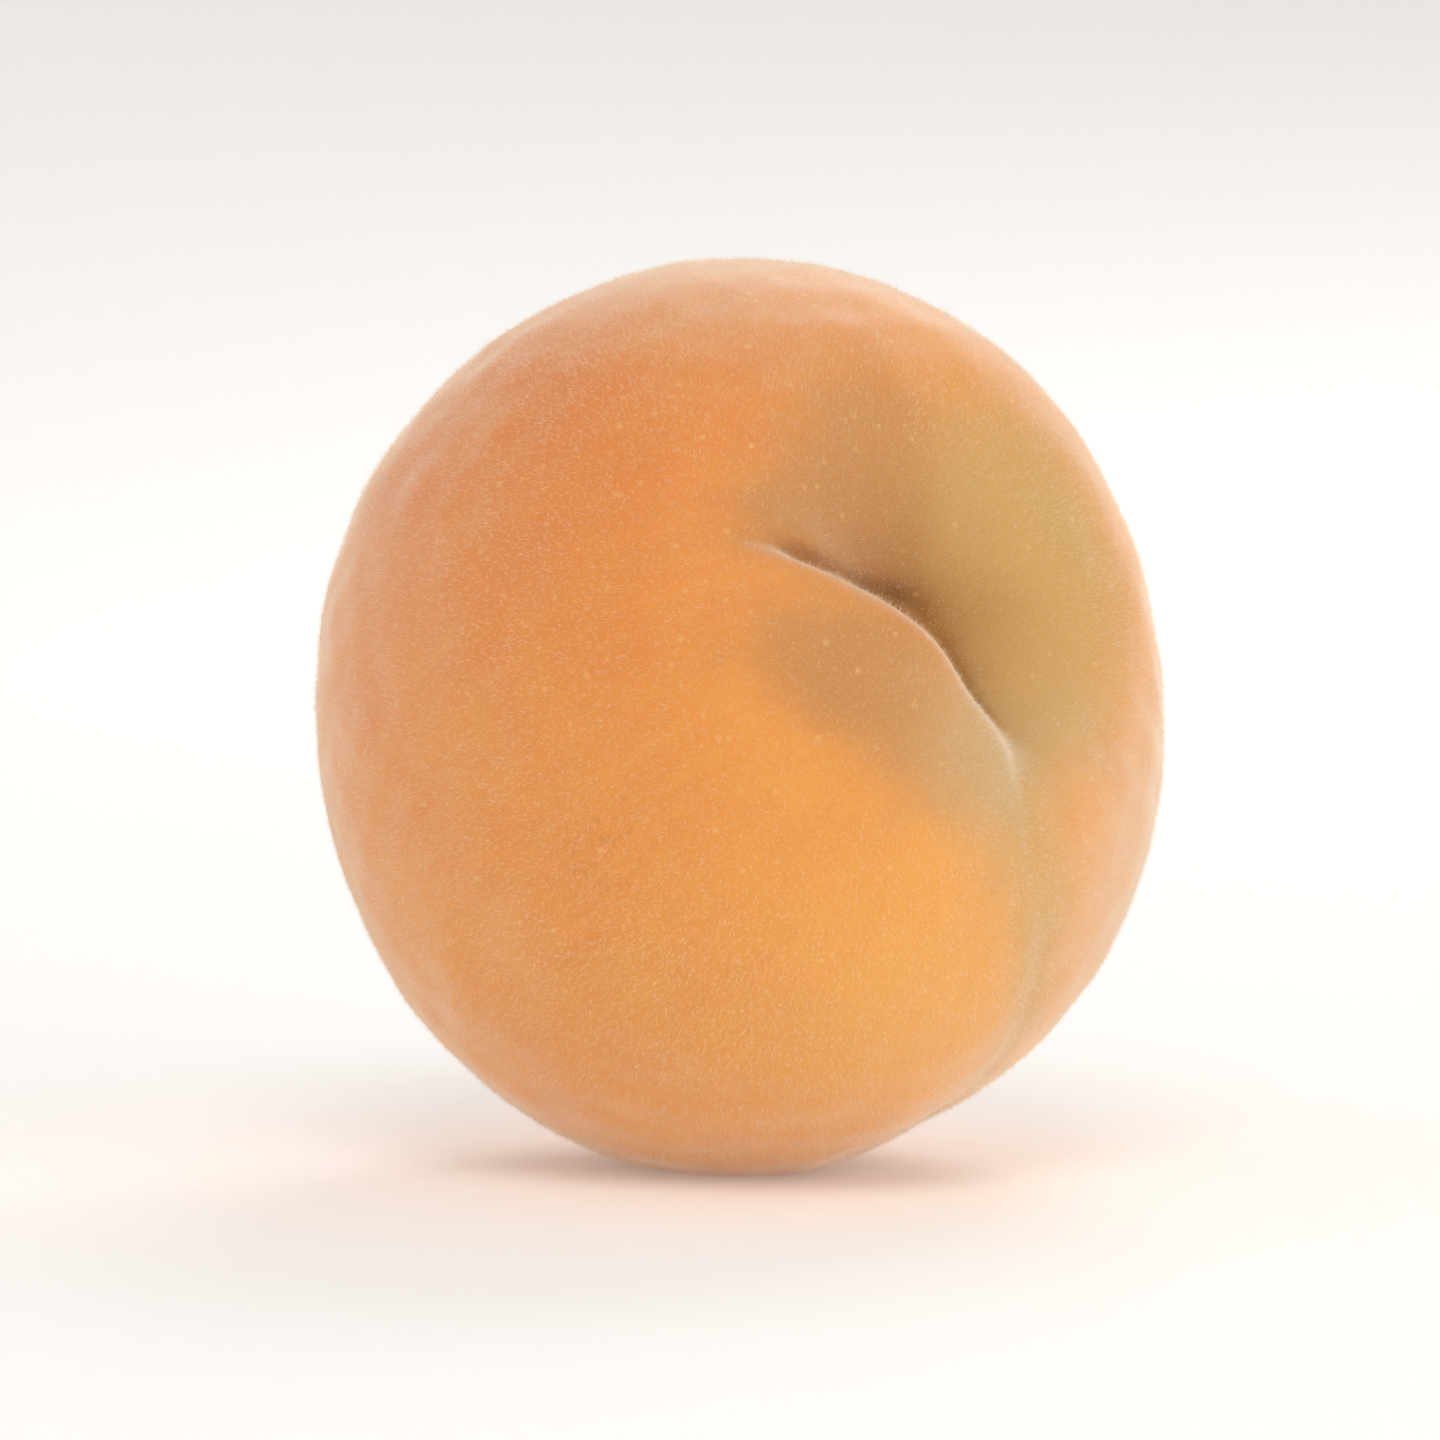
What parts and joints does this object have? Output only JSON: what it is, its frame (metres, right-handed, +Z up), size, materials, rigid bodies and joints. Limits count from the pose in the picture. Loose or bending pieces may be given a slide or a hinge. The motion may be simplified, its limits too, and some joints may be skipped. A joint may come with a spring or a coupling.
{
  "type": "peach",
  "caption": "Whole yellow peach resting on its side, with a funnel-shaped stem hollow, a suture from the hollow to the tip and a small flat spot to rest on.",
  "frame": {"origin": "middle of the flat spot that the fruit rests on", "axes": "+Z up from the resting surface; the stem hollow faces 42 degrees from -Y towards +X and 25 degrees above level"},
  "size_m": [0.0625, 0.0631, 0.0669],
  "materials": {
    "skin": "matt, finely downy, golden orange with olive green round the stem hollow"
  },
  "bodies": {
    "root": {"peach": "skin"}
  },
  "joints": []
}
